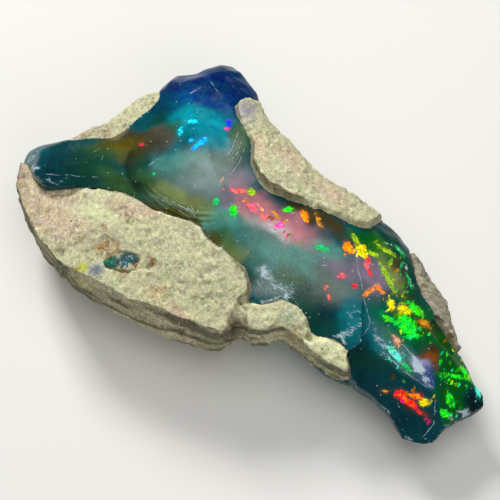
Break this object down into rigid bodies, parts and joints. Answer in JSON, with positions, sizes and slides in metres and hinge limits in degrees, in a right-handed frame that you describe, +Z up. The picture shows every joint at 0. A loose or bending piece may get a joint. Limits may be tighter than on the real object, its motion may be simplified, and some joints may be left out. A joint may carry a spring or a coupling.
{
  "type": "rough fire opal",
  "caption": "Rough precious opal nodule: translucent blue-green body with flashes of colour, broken faces and pale patches of host rock left on its rims, lying on its underside.",
  "frame": {"origin": "middle of the stone's footprint box, on the plane it rests on", "axes": "+X along the longest extent, from the blunt arm to the thin tail; +Y toward the back, away from the large patch of host rock; +Z up, through the broad face"},
  "size_m": [0.052, 0.0288, 0.0128],
  "materials": {
    "opal": "translucent, vitreous, play of colour in patches, frosted on some fracture faces",
    "speck": "translucent opal with brown iron stain round it, slightly dull",
    "rock": "matt, fine-grained, pale cream with grey and pink tints",
    "rind": "matt, grey-brown, flaky and streaked"
  },
  "bodies": {
    "root": {"opal": "opal", "opal_speck": "speck", "host_rock_front": "rock", "host_rock_back_left": "rock", "host_rock_tongue": "rock", "host_rock_right_rind": "rind"}
  },
  "joints": []
}
